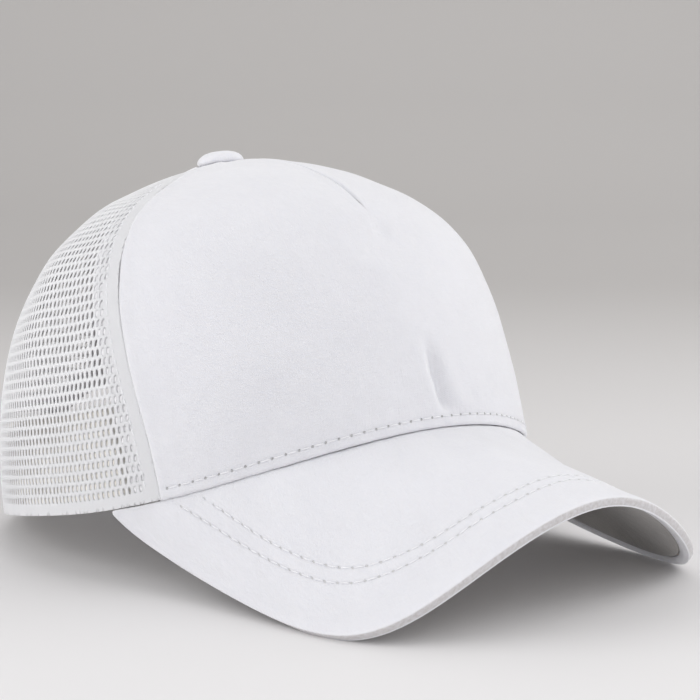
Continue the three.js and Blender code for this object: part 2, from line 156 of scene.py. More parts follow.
# A table of the cloth's length up each meridian, and of the angle that each share of it reaches.
meridians = np.arange(-180, 180.5, 0.5) * DEGREE
rungs = np.linspace(0, np.pi / 2, 361)
shares = np.linspace(0, 1, 501)
ladder = crown_point(meridians[:, None], rungs[None, :])
climbed = np.cumsum(np.linalg.norm(np.diff(ladder, axis=1), axis=-1), axis=1)
climbed = np.concatenate([np.zeros((len(meridians), 1)), climbed], axis=1)
meridian_length = climbed[:, -1]
rising_at_share = np.stack([np.interp(shares, row / row[-1], rungs) for row in climbed])


def cloth_length(around):
    """The length of cloth from the base edge to the button along a meridian."""
    wrapped = (np.asarray(around) + np.pi) % (2 * np.pi) - np.pi
    return np.interp(wrapped, meridians, meridian_length)


def rising_at(around, height):
    """The angle that a height up the cloth reaches, from the table, between its nearest entries."""
    wrapped = (around + np.pi) % (2 * np.pi) - np.pi
    column = (wrapped - meridians[0]) / (meridians[1] - meridians[0])
    row = np.clip(height / cloth_length(around), 0, 1) * (len(shares) - 1)
    i = np.clip(column.astype(int), 0, len(meridians) - 2)
    j = np.clip(row.astype(int), 0, len(shares) - 2)
    s, t = column - i, row - j
    low = rising_at_share[i, j] * (1 - s) + rising_at_share[i + 1, j] * s
    high = rising_at_share[i, j + 1] * (1 - s) + rising_at_share[i + 1, j + 1] * s
    return low * (1 - t) + high * t


def on_crown(around, height, depth):
    """A point height mm up the cloth and depth mm inside its outside, along the surface's normal.
    A height under 0 goes straight down from the base edge."""
    around, height, depth = np.broadcast_arrays(around * 1.0, height * 1.0, depth * 1.0)
    rising = rising_at(around, height)
    high = np.minimum(rising, np.pi / 2 - 0.02)
    low = np.maximum(high - nudge, 0)
    sideways = crown_point(around + nudge, high) - crown_point(around - nudge, high)
    upwards = crown_point(around, low + 2 * nudge) - crown_point(around, low)
    points = crown_point(around, rising) - unit(np.cross(sideways, upwards)) * depth[..., None]
    points[..., 2] += np.minimum(height, 0)
    return points


def level_radius(around, height):
    """Millimetres of cloth along a level line for each radian round the crown."""
    rising = rising_at(around * 1.0, height * 1.0)
    step = crown_point(around + nudge, rising) - crown_point(around - nudge, rising)
    return np.linalg.norm(step, axis=-1) / (2 * nudge)


def seam_angle(seam, share):
    """Where a seam runs, round from the front, at a share of its way up to the button."""
    bow = seam["bow"] * np.sin(np.pi * share) ** 2
    return (seam["base"] + bow + seam["lean"] * share) * DEGREE


def soft_step(value, start, end):
    """0 before start, 1 after end, and 3 t^2 - 2 t^3 between them."""
    t = np.clip((value - start) / (end - start), 0, 1)
    return t * t * (3 - 2 * t)


def bell(value, half_width):
    """A smooth hump: e to the minus (value / half_width) squared."""
    return np.exp(-(value / half_width) ** 2)


def ripple(x, y, wavelength, seed):
    """A slow uneven wave of about height 1: a third of the sum of six sines, whose directions and
    lengths differ."""
    chance = np.random.default_rng(seed)
    turns, phases = chance.uniform(0, np.pi, 6), chance.uniform(0, 2 * np.pi, 6)
    sizes = wavelength * chance.uniform(0.7, 1.5, 6)
    waves = [
        np.sin(2 * np.pi * (x * np.cos(turn) + y * np.sin(turn)) / size + phase)
        for turn, size, phase in zip(turns, sizes, phases)
    ]
    return sum(waves) / 3


def rows_between(length, step, edge):
    """Places from 0 to length about step apart, with closer ones within edge of both ends."""
    fine = edge * np.array([0, 0.04, 0.16, 0.36, 0.64])
    middle = np.linspace(edge, length - edge, max(int((length - 2 * edge) / step), 2))
    return np.concatenate([fine, middle, length - fine[::-1]])


def build_mesh(name, points, quads, triangles, maps):
    """A smooth mesh from points of the crown's frame, faces, and UV maps of a value a point."""
    mesh = bpy.data.meshes.new(name)
    corners = np.concatenate([quads.ravel(), triangles.ravel()]).astype(np.int32)
    starts = np.concatenate([
        np.arange(len(quads)) * 4,
        len(quads) * 4 + np.arange(len(triangles)) * 3,
    ]).astype(np.int32)
    mesh.vertices.add(len(points))
    mesh.vertices.foreach_set("co", at_rest(points).astype(np.float32).ravel())
    mesh.loops.add(len(corners))
    mesh.loops.foreach_set("vertex_index", corners)
    mesh.polygons.add(len(starts))
    mesh.polygons.foreach_set("loop_start", starts)
    mesh.polygons.foreach_set("use_smooth", np.ones(len(starts), bool))
    mesh.update(calc_edges=True)
    for title, values in maps.items():
        layer = mesh.uv_layers.new(name=title)
        layer.uv.foreach_set("vector", values[corners].astype(np.float32).ravel())
    mesh.validate()
    return mesh


def add_piece(mesh, material, stands_for):
    """Puts a finished mesh on the cap, in the place of the CAD nodes that it stands for."""
    piece = add_object(mesh.name, mesh)
    mesh.materials.append(material)
    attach(piece, "root")
    if stands_for:
        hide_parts(*stands_for)
    return piece


NO_FACES = np.empty((0, 3), int)


def shell_faces(rows, columns):
    """The quads of two sheets that share the points of their border. The outer sheet has rows times
    columns points, and the inner sheet's own ones are those inside the border."""
    outer = np.arange(rows * columns).reshape(rows, columns)
    inner = outer.copy()
    inner[1:-1, 1:-1] = rows * columns + np.arange((rows - 2) * (columns - 2)).reshape(rows - 2, -1)
    front = np.stack([outer[:-1, :-1], outer[1:, :-1], outer[1:, 1:], outer[:-1, 1:]], -1)
    back = np.stack([inner[:-1, :-1], inner[:-1, 1:], inner[1:, 1:], inner[1:, :-1]], -1)
    return np.concatenate([front.reshape(-1, 4), back.reshape(-1, 4)])


def rounded(distance, radius):
    """How full a sheet is near its edge: a quarter circle from 0 at the edge to 1 at radius."""
    return np.sqrt(np.clip(1 - (1 - np.clip(distance / radius, 0, 1)) ** 2, 0, 1))


def cloth_shell(name, put, thickness, to_side, to_end, maps):
    """A sheet with rounded edges. put(depth) places the sheet's grid of points that deep, and
    to_side and to_end are grids of the distances to its edges. The inner and the outer sheet lie
    half the thickness from the middle, less where the edges round."""
    edge_radius = thickness * 0.7
    full = rounded(to_side, edge_radius) * rounded(to_end, edge_radius) * thickness / 2
    outer, inner = put(thickness / 2 - full), put(thickness / 2 + full)
    points = np.concatenate([outer.reshape(-1, 3), inner[1:-1, 1:-1].reshape(-1, 3)])
    both = {
        title: np.concatenate([grid.reshape(-1, 2), grid[1:-1, 1:-1].reshape(-1, 2)])
        for title, grid in maps.items()
    }
    return build_mesh(name, points, shell_faces(*full.shape), NO_FACES, both)


class Value:
    """A socket that carries a number. Arithmetic on it adds the Math nodes that work it out."""

    def __init__(self, paint, socket):
        self.paint, self.socket = paint, socket

    def maths(self, operation, *values):
        return self.paint.add("ShaderNodeMath", {"operation": operation}, dict(enumerate(values)))

    def __add__(self, other):
        return self.maths("ADD", self, other)

    def __sub__(self, other):
        return self.maths("SUBTRACT", self, other)

    def __rsub__(self, other):
        return self.maths("SUBTRACT", other, self)

    def __mul__(self, other):
        return self.maths("MULTIPLY", self, other)

    __radd__, __rmul__ = __add__, __mul__

    def sine(self):
        return self.maths("SINE", self)

    def root(self):
        return self.maths("SQRT", self)

    def size(self):
        return self.maths("ABSOLUTE", self)

    def fraction(self):
        return self.maths("FRACT", self)

    def clear_step(self, start, end):
        """0 before start and 1 after end, or the other way round where end is the lower."""
        settings = {"interpolation_type": "SMOOTHSTEP"}
        values = {"Value": self, "From Min": start, "From Max": end}
        return self.paint.add("ShaderNodeMapRange", settings, values)


class Paint:
    """A material with one Principled shader, and the nodes that vary its colour and surface."""

    def __init__(self, name, roughness, sheen, glow=0.0):
        self.material = bpy.data.materials.new(name)
        self.material.use_nodes = True
        self.tree = self.material.node_tree
        self.shader = self.tree.nodes["Principled BSDF"]
        for title, value in {
            "Roughness": roughness, "Sheen Weight": sheen, "Sheen Roughness": 0.4,
            "Specular IOR Level": 0.25, "Subsurface Weight": glow,
            "Subsurface Radius": (1.0, 0.97, 0.94), "Subsurface Scale": 0.002,
        }.items():
            self.shader.inputs[title].default_value = value

    def join(self, value, socket):
        if isinstance(value, Value):
            self.tree.links.new(value.socket, socket)
        else:
            socket.default_value = value

    def add(self, kind, settings, values, output=0):
        node = self.tree.nodes.new(kind)
        for key, setting in settings.items():
            setattr(node, key, setting)
        for key, value in values.items():
            self.join(value, node.inputs[key])
        return Value(self, node.outputs[output])

    def axes(self, place):
        """The first two numbers of a place."""
        return [self.add("ShaderNodeSeparateXYZ", {}, {0: place}, axis) for axis in (0, 1)]

    def map_axes(self, title):
        """The two numbers of a UV map."""
        return self.axes(self.add("ShaderNodeUVMap", {"uv_map": title}, {}))

    def object_place(self):
        """Object coordinates, in metres."""
        return self.add("ShaderNodeTexCoord", {}, {}, 3)

    def noise(self, x, y, detail=2.0):
        """Uneven grey, 0 to 1, at the place x, y."""
        place = self.add("ShaderNodeCombineXYZ", {}, {0: x, 1: y})
        return self.add("ShaderNodeTexNoise", {}, {"Vector": place, "Scale": 1.0, "Detail": detail})

    def colour(self, low, high, factor, layers=()):
        """The base colour, from low to high by a factor, and then to each layer's tint by its mask."""
        settings = {"data_type": "RGBA"}
        mixed = self.add("ShaderNodeMix", settings, {0: factor, 6: (*low, 1.0), 7: (*high, 1.0)}, 2)
        for tint, mask in layers:
            mixed = self.add("ShaderNodeMix", settings, {0: mask, 6: mixed, 7: (*tint, 1.0)}, 2)
        self.join(mixed, self.shader.inputs["Base Color"])

    def relief(self, height, depth):
        """A bump of so many metres where height is 1."""
        values = {"Height": height, "Distance": depth, "Strength": 1.0}
        bumped = self.add("ShaderNodeBump", {}, values)
        self.join(bumped, self.shader.inputs["Normal"])


needle_rim, needle_core, groove_reach = 0.52, 0.2, 1.3


def woven(name, tint, shade, thread, glow, rows=(), pitch=1.0, marks=None, hole_shade_grey=0.48):
    """A plain weave on the map called cloth, in millimetres: threads over and under each other as
    the product of two sines, thread mm apart, with slubs as noise drawn out along the threads. The
    cloth goes from shade to tint, and glow is the share of the light that spreads inside it. Each
    row of stitches has a map of its own, of the number of stitches along it and the millimetres
    from it, for its needle holes and its groove. The needle holes are painted grey, as painted
    shade inside them. marks gives one more tint and its mask."""
    paint = Paint(name, 0.88, 0.25, glow)
    x, y = paint.map_axes("cloth")
    turn = 2 * np.pi / thread
    weave = (x * turn).sine() * (y * turn).sine()
    slubs = paint.noise(x * 0.3, y * 2.2) + paint.noise(x * 2.2, y * 0.3)
    patches = paint.noise(x * 0.045, y * 0.045, 3.0)
    crumple = paint.noise(x * 0.16, y * 0.16, 3.0)
    tone = patches * 0.5 + slubs * 0.25
    height = weave * 0.2 + slubs * 0.9 + crumple * 5.0
    layers = []
    for title in rows:
        along, off = paint.map_axes(title)
        from_hole = (along.fraction() - 0.5) * pitch
        hole = (from_hole * from_hole + off * off).root().clear_step(needle_rim, needle_core)
        height = height - hole * 4.0 - off.size().clear_step(groove_reach, 0.0)
        # Each needle hole is painted grey: painted shade inside the hole.
        layers.append(((hole_shade_grey, hole_shade_grey, hole_shade_grey), hole))
    if marks:
        layers.append(marks(paint))
    paint.colour(shade, tint, tone.clear_step(0.05, 0.75), layers)
    paint.relief(height, 0.00012)
    return paint.material


# The hollows that the panel has in the photo: round, up, half width, half height and depth, in mm
# along the cloth from the middle of its lower edge.
panel_hollows = [
    (0.0, 63.0, 18.5, 14.0, 1.3),
    (7.5, 16.0, 9.5, 15.0, 0.9),
    (-34.0, 40.0, 30.0, 26.0, 0.5),
    (38.0, 96.0, 26.0, 22.0, 0.5),
    (1.5, 66.0, 5.0, 6.0, 0.7),
]
# The dart's foot is a share of the panel's height. The others are in mm.
dart = {"foot": 0.49, "depth": 1.5, "half_width": 0.5, "ridge": 0.45, "ridge_off": 2.2, "ridge_half": 1.5}
buckle = {
    "depth": 2.4, "half_width": 2.3, "ridge": 1.1, "ridge_off": 5.6, "ridge_half": 3.6,
    "bent_below": 28.0,
}
panel_stitch = {"pitch": 4.15, "height": 2.9}


def panel_depth(x, height, share):
    """How far the cotton sinks, x mm from the middle. The hollows are (1 - r^2)^2 inside r = 1.
    The dart is a narrow bell with a soft ridge on both sides. The buckle over the peak is a slanted
    bell with a ridge beside it, and puckers run up from the stitches as a sine that fades with
    height."""
    depth = 0.32 * ripple(x, height, 52.0, 3) + 0.1 * ripple(x, height, 17.0, 5)
    for middle, up, half_width, half_height, deep in panel_hollows:
        reach = np.minimum(np.hypot((x - middle) / half_width, (height - up) / half_height), 1)
        depth = depth + deep * (1 - reach * reach) ** 2
    darted = soft_step(share, dart["foot"], dart["foot"] + 0.1)
    ridges = dart["ridge"] * bell(np.abs(x) - dart["ridge_off"], dart["ridge_half"])
    depth = depth + darted * (dart["depth"] * bell(x, dart["half_width"]) - ridges)
    off_buckle = x - 1.5 - 0.06 * np.maximum(buckle["bent_below"] - height, 0) ** 1.3
    buckled = soft_step(height, 2.5, 8.0) * soft_step(height, 31.0, 16.0)
    ridge = buckle["ridge"] * bell(off_buckle - buckle["ridge_off"], buckle["ridge_half"])
    depth = depth + buckled * (buckle["depth"] * bell(off_buckle, buckle["half_width"]) - ridge)
    puckers = np.sin(np.pi * x / panel_stitch["pitch"]) * np.exp(-height / 5.0)
    return depth + 0.16 * puckers - 0.1 * bell(height - 0.9, 1.4)


half_base = level_radius(0.0, 0.0) * seam_angle(front_seam, 0.0)
panel_columns = rows_between(2 * half_base, 1.25, 1.2) / half_base - 1
# Closer columns beside the dart, as shares of the half width.
dart_columns = np.array([0.002, 0.0045, 0.0075, 0.011, 0.016, 0.022, 0.03, 0.04, 0.05, 0.065, 0.075])
panel_columns = np.sort(np.concatenate([panel_columns, dart_columns, -dart_columns]))
panel_height = cloth_length(0.0) - apex_hole
panel_rows = rows_between(panel_height, 1.0, 1.2) / panel_height
# The lowest rows hang a little below the base edge, down to the peak.
panel_hang = 0.45
across, up = np.meshgrid(panel_columns, panel_rows, indexing="ij")
panel_around = across * seam_angle(front_seam, up)
panel_climb = up * (cloth_length(panel_around) - apex_hole) - panel_hang * np.maximum(1 - up * 25, 0)
panel_x = panel_around * level_radius(0.0, np.minimum(panel_climb, panel_height))
base_run = panel_around * level_radius(0.0, 0.0)
seam_distance = (1 - np.abs(across)) * seam_angle(front_seam, up) * level_radius(0.0, panel_climb)


def put_panel(depth):
    """The panel's columns are shares of the way from seam to seam, and its rows of the way up. A
    low ridge, a bell, runs along the fold at the seams."""
    ridge = 0.35 * bell(seam_distance - 1.6, 1.5)
    return on_crown(panel_around, panel_climb, depth + panel_depth(panel_x, panel_climb, up) - ridge)


def seam_shade_lines(paint):
    """Thin lines of painted shade: in the dart's groove, down to its foot on the map called dart,
    and in the fold at the seams with the nets, on the map called seam."""
    x, share = paint.map_axes("dart")
    dart_shade_line = x.size().clear_step(0.5, 0.1) * share.clear_step(dart["foot"], dart["foot"] + 0.04)
    from_seam, _ = paint.map_axes("seam")
    # The grey of both lines is painted shade in the groove and the fold.
    return (0.42, 0.41, 0.43), dart_shade_line * 0.8 + from_seam.clear_step(0.75, 0.25) * 0.6


cotton_tint, cotton_shade = (0.805, 0.805, 0.84), (0.745, 0.745, 0.785)
cotton_thread, cotton_glow = 0.62, 0.6
white_cotton = woven(
    "white_cotton", cotton_tint, cotton_shade, cotton_thread, cotton_glow,
    ["base_row"], panel_stitch["pitch"], seam_shade_lines,
)
front_panel = add_piece(
    cloth_shell(
        "front_panel_cotton", put_panel, cotton_thickness,
        seam_distance, np.minimum(up, 1 - up) * panel_height,
        {
            "cloth": np.stack([panel_x, panel_climb], -1),
            "dart": np.stack([panel_x, up], -1),
            "seam": np.stack([seam_distance, panel_climb], -1),
            "base_row": np.stack([
                base_run / panel_stitch["pitch"], panel_climb - panel_stitch["height"],
            ], -1),
        },
    ),
    white_cotton, ["front_panel"],
)
heights = np.linspace(0, panel_height, 100)
panel_widths = 2 * seam_angle(front_seam, heights / panel_height) * level_radius(0.0, heights)
panel_widths.max() * MILLIMETRE
panel_widths.mean() * panel_height * MILLIMETRE ** 2


def threads(name, starts, ends, outward, radius, material):
    """Stitches as joined spindles. Each is a tube of six sides and seven rings from start to end,
    whose radius goes as sin(pi t)^0.4 along it. Its middle lies a tenth of the radius outward and
    its ends dip in."""
    along = np.linspace(0, 1, 7)
    swell = np.sin(np.pi * np.clip(along, 0.02, 0.98)) ** 0.4
    spokes = np.arange(6) * np.pi / 3
    run = unit(ends - starts)
    out = unit(outward - (outward * run).sum(-1, keepdims=True) * run)
    side = np.cross(run, out)
    middles = starts[:, None] + (ends - starts)[:, None] * along[None, :, None]
    middles = middles + out[:, None] * (radius * (swell - 0.9))[None, :, None]
    ring = (out[:, None, None] * np.cos(spokes)[None, None, :, None]
            + side[:, None, None] * np.sin(spokes)[None, None, :, None])
    points = middles[:, :, None] + ring * (radius * swell)[None, :, None, None]
    count = len(starts)
    number = np.arange(count * 7 * 6).reshape(count, 7, 6)
    after = np.roll(number, -1, axis=2)
    quads = np.stack([number[:, :-1], after[:, :-1], after[:, 1:], number[:, 1:]], -1).reshape(-1, 4)
    caps = np.concatenate([
        np.stack([number[:, 0, 0], number[:, 0, 5 - k], number[:, 0, 4 - k]], -1) for k in range(4)
    ] + [
        np.stack([number[:, 6, 0], number[:, 6, 1 + k], number[:, 6, 2 + k]], -1) for k in range(4)
    ])
    mesh = build_mesh(name, points.reshape(-1, 3), quads, caps, {})
    return add_piece(mesh, material, [])


def spun(name, tint, shade):
    """Polyester thread, a little shinier than the cloth."""
    paint = Paint(name, 0.6, 0.1)
    values = {"Vector": paint.object_place(), "Scale": 2500.0, "Detail": 1.0}
    fibres = paint.add("ShaderNodeTexNoise", {}, values)
    paint.colour(shade, tint, fibres)
    paint.relief(fibres, 0.00004)
    return paint.material


white_thread = spun("white_thread", (0.95, 0.95, 0.97), (0.85, 0.85, 0.88))
thread_radius = 0.21
stitch_share = 0.7


def stitch_row(name, line, outward, run, pitch, lift=0.1):
    """Stitches along a line of points, whose places run counts in millimetres. Each one covers the
    middle share of the way from one needle hole, at half a pitch, to the next, lift mm outward."""
    places = (np.arange(np.ceil(run[0] / pitch), np.floor(run[-1] / pitch) - 1) + 1) * pitch
    half = stitch_share * pitch / 2
    along = [
        np.stack([np.interp(places + shift, run, axis) for axis in (line + outward * lift).T], -1)
        for shift in (-half, half)
    ]
    out = np.stack([np.interp(places, run, axis) for axis in outward.T], -1)
    return threads(name, along[0], along[1], out, thread_radius, white_thread)


def length_along(line):
    """The distance along a line of points from its first one."""
    steps = np.linalg.norm(np.diff(line, axis=0), axis=-1)
    return np.concatenate([[0], np.cumsum(steps)])


row_x = np.linspace(-half_base, half_base, 400)
row_height = np.full(400, panel_stitch["height"])
row_depth = panel_depth(row_x, row_height, row_height / panel_height)
row_around = row_x / level_radius(0.0, 0.0)
row_line = on_crown(row_around, row_height, row_depth)
row_outward = row_line - on_crown(row_around, row_height, row_depth + 1)
stitch_row("front_panel_stitches", row_line, row_outward, row_x, panel_stitch["pitch"])


# The nets: knitted white polyester, open all over in staggered rows of upright slots. Each panel is
# cut across the rows at its seams, and its edges are turned in, so the last holes there are closed.
# Every strand is real, a flattened ridge between two holes.
hole_pitch = 2.45
row_pitch = 3.1
zigzag = 0.42
hole_half = np.array([0.5, 0.98])
strand_half = 0.22
net_middle = 0.4
net_hem = 2.2
pressed_share = 0.2
sweatband_height = 32.0
seam_length = 150.0
cell_points = 12
# Each hole leans by a share of its height, and shrinks by two more near the button and over the band.
hole_lean = 0.13
button_shrink, band_shrink = 0.4, 0.16


def edge_angle(seam, height):
    """The seam's angle at a height up the cloth, by putting its own cloth length in three times."""
    share = height / seam_length
    for _ in range(3):
        share = height / (cloth_length(seam_angle(seam, share)) - apex_hole)
    return seam_angle(seam, np.clip(share, 0, 1))


def net_cells(width, height):
    """The outlines of the cells that fill a width each way and a height. A cell's corners lie on
    two zigzag lines, in turn low and high, and between each two corners there is one more point."""
    rows = np.arange(-1, int(height / row_pitch) + 2)
    columns = np.arange(-int(width / hole_pitch) - 2, int(width / hole_pitch) + 3)
    row, column = [grid.ravel() for grid in np.meshgrid(rows, columns, indexing="ij")]
    x = (column + 0.5 * (row % 2)) * hole_pitch
    low, high = row * row_pitch, (row + 1) * row_pitch
    half = hole_pitch / 2
    corners = np.stack([
        np.stack([x, low - zigzag], -1), np.stack([x + half, low + zigzag], -1),
        np.stack([x + half, high - zigzag], -1), np.stack([x, high + zigzag], -1),
        np.stack([x - half, high - zigzag], -1), np.stack([x - half, low + zigzag], -1),
    ], axis=1)
    between = (corners + np.roll(corners, -1, axis=1)) / 2
    outline = np.stack([corners, between], axis=2).reshape(len(x), cell_points, 2)
    return outline, np.stack([x, (low + high) / 2], -1), row


def net_holes(outline, centre, row):
    """Each cell's hole, of twelve points in the directions of its outline's: an upright slot with
    round ends that leans one way in odd rows and the other way in even ones."""
    away = outline - centre[:, None]
    angle = np.arctan2(away[..., 1], away[..., 0])
    spokes = np.stack([np.cos(angle), np.sin(angle)], -1)
    hole = hole_half * np.sign(spokes) * np.abs(spokes) ** 0.9
    hole[..., 0] += hole[..., 1] * np.where(row % 2, hole_lean, -hole_lean)[:, None]
    near_button = soft_step(centre[:, 1], 65, 120)
    over_band = soft_step(centre[:, 1], sweatband_height, 24)
    size = 1 - button_shrink * near_button - band_shrink * over_band
    return hole * size[:, None, None] + centre[:, None]


def outer_edges(number):
    """The edges, of some length, that only one of the cells with these corner numbers has."""
    edges = np.stack([number, np.roll(number, -1, 1)], -1).reshape(-1, 2)
    edges = edges[edges[:, 0] != edges[:, 1]]
    _, first, times = np.unique(np.sort(edges, axis=1), axis=0, return_index=True, return_counts=True)
    return edges[first[times == 1]]


def ring_quads(outer, inner):
    """Quads between rings of corner numbers, each ring from an outer to an inner one."""
    return np.stack([outer, np.roll(outer, -1, 1), np.roll(inner, -1, 1), inner], -1).reshape(-1, 4)


def net_mesh(name, near_edge, far_edge, middle_angle, top_height, side, near_hem):
    """A net panel between two edges, each a function from height to angle. A cell that reaches
    past an edge is pressed back to it and left without a hole. Each other cell is a ring from its
    outline, where the strand is thickest, to its hole, where it ends. side is 1 or -1. Over the
    sweatband and the tapes the strands' backs are pressed flat. The cells within near_hem mm of
    the near edge are closed too."""
    def radius_at(height):
        return np.maximum(level_radius(middle_angle + 0 * height, height), apex_hole)

    def edges_at(height):
        return [(edge(height) - middle_angle) * radius_at(height) for edge in (near_edge, far_edge)]

    base_near, base_far = edges_at(np.zeros(1))
    outline, centre, row = net_cells(max(-base_near[0], base_far[0]) + 12, top_height)
    height = np.clip(outline[..., 1], 0, top_height)
    near, far = edges_at(height)
    keep = (
        (outline[..., 0] > near) & (outline[..., 0] < far)
        & (outline[..., 1] > 0) & (outline[..., 1] < top_height)
    ).any(1)
    outline, centre, row = outline[keep], centre[keep], row[keep]
    height, near, far = height[keep], near[keep], far[keep]
    pressed = np.stack([np.clip(outline[..., 0], near, far), height], -1)
    margin = hole_pitch / 2 + 0.4
    pierced = (
        (centre[:, 0] - margin > near.max(1) + near_hem) & (centre[:, 0] + margin < far.min(1))
        & (centre[:, 1] - row_pitch / 2 > net_hem) & (centre[:, 1] + row_pitch < top_height)
    )
    hole = net_holes(outline, centre, row)
    halfway = (hole + outline) / 2

    # The points on the map: the joined outlines, in front and behind, the halfway rings, in front
    # and behind, the holes, and the middles of the closed cells, in front and behind.
    joined, number = np.unique(np.round(pressed.reshape(-1, 2), 4), axis=0, return_inverse=True)
    number = number.reshape(-1, cell_points)
    open_hole, open_half = hole[pierced].reshape(-1, 2), halfway[pierced].reshape(-1, 2)
    closed_centre = pressed[~pierced].mean(1)
    parts = [joined, joined, open_half, open_half, open_hole, closed_centre, closed_centre]
    flat = np.concatenate(parts)
    sizes = [len(part) for part in parts]
    starts = np.concatenate([[0], np.cumsum(sizes)])
    lifts = np.repeat([-1, 1, -0.8, 0.8, 0, -0.9, 0.9], sizes) * strand_half
    near, far = edges_at(flat[:, 1])
    from_seam = np.minimum(flat[:, 0] - near, far - flat[:, 0])
    above_band = flat[:, 1] - sweatband_height
    # The net waves where it hangs free, away from its seams and above the sweatband.
    wave = 0.4 * ripple(flat[:, 0], flat[:, 1], 34.0, 11)
    wave = wave * soft_step(from_seam, 10, 24) * soft_step(above_band, 1, 16)
    backed = np.maximum(soft_step(from_seam, 12, 9), soft_step(above_band, 3, 0))
    lifts = np.where(lifts > 0, lifts * (1 - (1 - pressed_share) * backed), lifts)
    turned = middle_angle + flat[:, 0] / radius_at(flat[:, 1])
    points = on_crown(turned, flat[:, 1], net_middle + lifts + wave)

    own = np.arange(len(open_half)).reshape(-1, cell_points)
    front_half, back_half, holes = own + starts[2], own + starts[3], own + starts[4]
    rim = outer_edges(number)
    quads = np.concatenate([
        ring_quads(number[pierced], front_half), ring_quads(front_half, holes),
        ring_quads(number[pierced] + starts[1], back_half)[:, ::-1],
        ring_quads(back_half, holes)[:, ::-1],
        np.stack([rim[:, 1], rim[:, 0], rim[:, 0] + starts[1], rim[:, 1] + starts[1]], -1),
    ])
    closed = number[~pierced]
    following = np.roll(closed, -1, 1)
    hub = np.broadcast_to(np.arange(len(closed))[:, None], closed.shape)
    fans = np.stack([closed, following, hub + starts[5]], -1).reshape(-1, 3)
    back_fans = np.stack([following + starts[1], closed + starts[1], hub + starts[6]], -1)
    solid = fans[:, 0] != fans[:, 1]
    triangles = np.concatenate([fans[solid], back_fans.reshape(-1, 3)[solid]])
    if side < 0:
        points = points * [-1, 1, 1]
        quads, triangles = quads[:, ::-1], triangles[:, ::-1]
    return build_mesh(name, points, quads, triangles, {"cloth": flat})


def knitted(name, tint, shade):
    """Fine filaments: ripples across the strands with a little noise, on the map in millimetres."""
    paint = Paint(name, 0.75, 0.2, 0.4)
    x, y = paint.map_axes("cloth")
    loops = (x * (2 * np.pi / 0.55)).sine() * (y * (2 * np.pi / 0.45)).sine()
    fuzz = paint.noise(x * 1.8, y * 1.8)
    paint.colour(shade, tint, fuzz * 0.8 + loops * 0.1 + 0.1)
    paint.relief(loops * 0.6 + fuzz, 0.00007)
    return paint.material


white_net = knitted("white_net", (0.945, 0.945, 0.97), (0.895, 0.895, 0.92))
side_middle = 94 * DEGREE
net_from_apex = apex_hole + 0.5
sides = {"left": 1, "right": -1}


def front_edge(height):
    """The side nets' edge at the front, which goes 0.4 mm under the cotton's fold."""
    return edge_angle(front_seam, height) - 0.4 / np.maximum(level_radius(side_middle, height), 4)


def shared_edge(height):
    """The edge that the side nets share with the back nets."""
    return edge_angle(back_seam, height)


for name, side in sides.items():
    side_net = net_mesh(
        f"side_net_{name}_knit", front_edge, shared_edge,
        side_middle, cloth_length(side_middle) - net_from_apex, side, 3.6,
    )
    add_piece(side_net, white_net, [f"side_net_{name}"])


# The back nets, cut away round the arch and the slit. They meet in the middle, between the arch and
# the slit and again between the slit and the button.
binding_width = 9.0
tape_thickness = 1.0
layer_gap = 0.4
arch_half_width = 33.0
arch_height = 42.0
slit_length = 75.0
slit_half_width = 13.6
slit_top_share = 0.1
slit_fullness = 0.85
slit_top_crown = 2.0
slit_foot = arch_height + binding_width + layer_gap
slit_head = slit_foot + slit_length
cut_margin = tape_thickness + layer_gap + 0.5
closed_half = 0.2


def slit_half(height):
    """Half the slit's width: a sine from its pointed foot to its square head, to a power."""
    down = np.clip((slit_head - height) / slit_length, 0, 1)
    turn = np.pi * (slit_top_share + (1 - slit_top_share) * down)
    return closed_half + slit_half_width * np.maximum(np.sin(turn), 0) ** slit_fullness


def back_cut(height):
    """How far from the middle of the back the net is cut away, in millimetres: an ellipse round the
    arch, the slit's own shape, and half a closed gap elsewhere."""
    top = arch_height + cut_margin
    arched = (arch_half_width + cut_margin) * np.sqrt(np.clip(1 - (height / top) ** 2, 0, 1))
    in_slit = (height > slit_foot - 0.2) & (height < slit_head + slit_top_crown + cut_margin)
    slit = np.where(in_slit, slit_half(height) + cut_margin, closed_half)
    return np.maximum(np.maximum(arched, closed_half), slit)


def cut_edge(height):
    """The back nets' edge in the middle of the back."""
    return np.pi - back_cut(height) / np.maximum(level_radius(np.pi, height), 4)


back_middle = 152 * DEGREE
for name, side in sides.items():
    back_net = net_mesh(
        f"back_net_{name}_knit", shared_edge, cut_edge,
        back_middle, cloth_length(np.pi) - net_from_apex, side, 0.0,
    )
    add_piece(back_net, white_net, [f"back_net_{name}"])


# The seam tapes: soft white cotton tape sewn inside over each seam, so that the raw edges don't
# show. They lie close behind the net and show through it as white bands.
tape_width = 12.0
tape_top_radius = 17.0
net_back = net_middle + pressed_share * strand_half + 0.05
white_tape = woven("white_tape", (0.88, 0.875, 0.895), (0.83, 0.825, 0.85), 0.5, 0.05)
tape_pitch = 3.2


